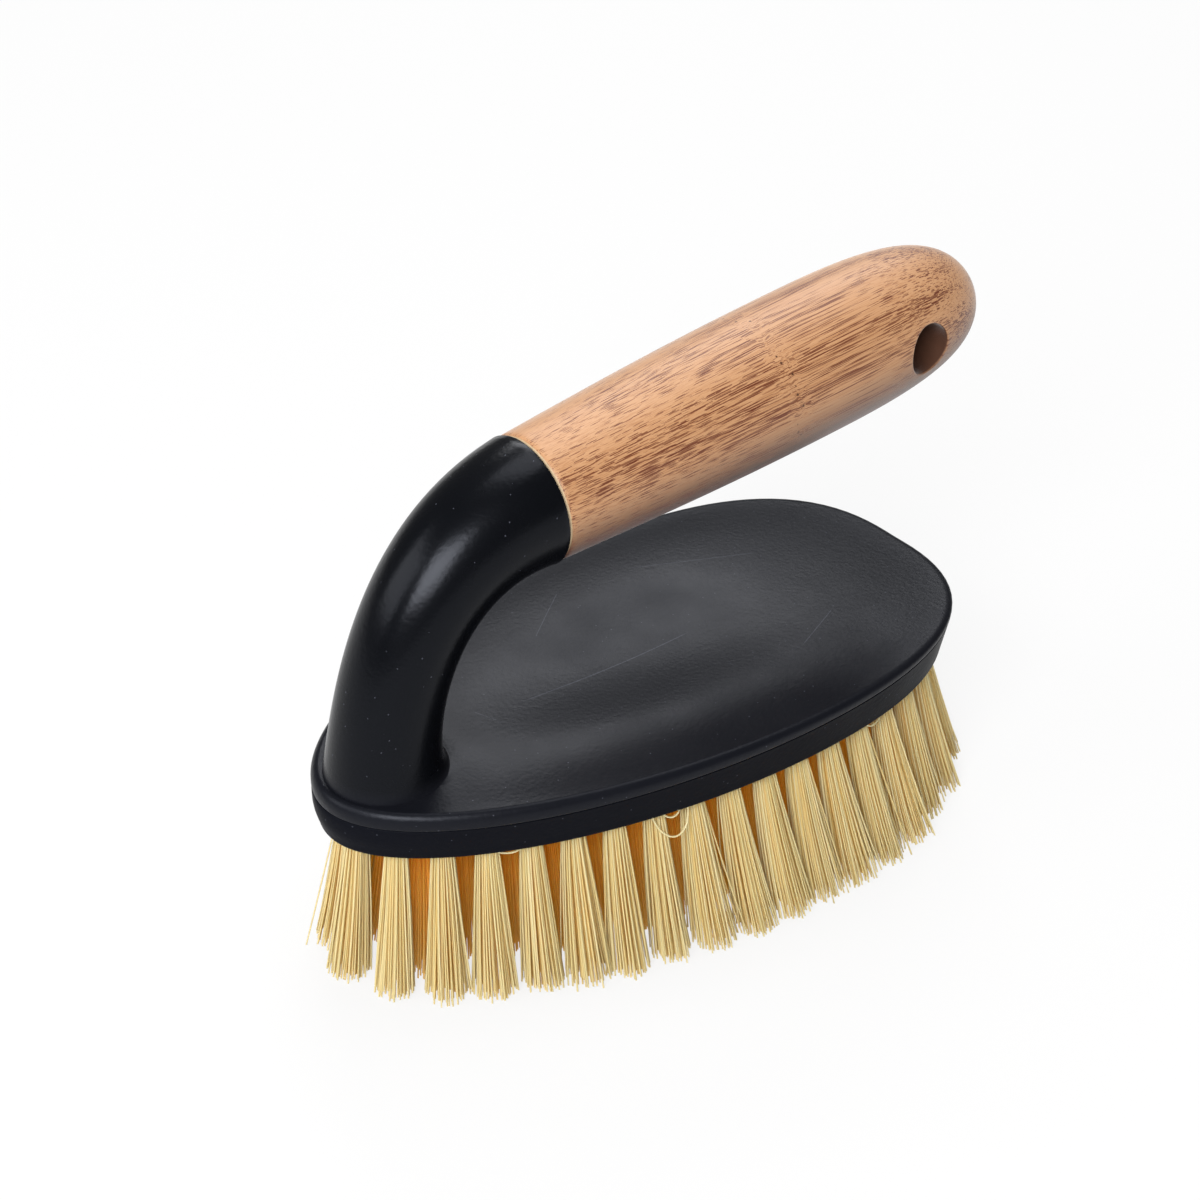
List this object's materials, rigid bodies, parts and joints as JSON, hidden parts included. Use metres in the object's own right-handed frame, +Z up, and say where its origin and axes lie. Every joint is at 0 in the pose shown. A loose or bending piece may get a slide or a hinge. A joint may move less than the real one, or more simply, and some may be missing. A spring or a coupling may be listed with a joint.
{
  "type": "hand brush",
  "caption": "Iron-shaped scrubbing brush: a black moulded head on a hooked neck with a round bamboo grip and splayed rows of pale bristle tufts.",
  "frame": {"origin": "on the surface that the bristle tips stand on, under the middle of the brush's bounding box", "axes": "+Z up from the bristle tips, +X along the head from its pointed nose and neck towards the free end of the grip, +Y across the head"},
  "size_m": [0.1658, 0.0873, 0.1156],
  "materials": {
    "black_plastic": "satin, with a fine moulded texture",
    "bamboo": "sanded and lacquered, satin",
    "bristle": "stiff cream filament, slightly translucent"
  },
  "bodies": {
    "root": {"cover": "black_plastic", "tuft_block": "black_plastic", "grip": "bamboo", "tuft_row_01": "bristle", "tuft_row_02": "bristle", "tuft_row_03": "bristle", "tuft_row_04": "bristle", "tuft_row_05": "bristle", "tuft_row_06": "bristle", "tuft_row_07": "bristle", "tuft_row_08": "bristle", "tuft_row_09": "bristle", "tuft_row_10": "bristle", "tuft_row_11": "bristle", "tuft_row_12": "bristle", "tuft_row_13": "bristle", "tuft_row_14": "bristle", "tuft_row_15": "bristle", "tuft_row_16": "bristle", "tuft_row_17": "bristle"}
  },
  "joints": []
}
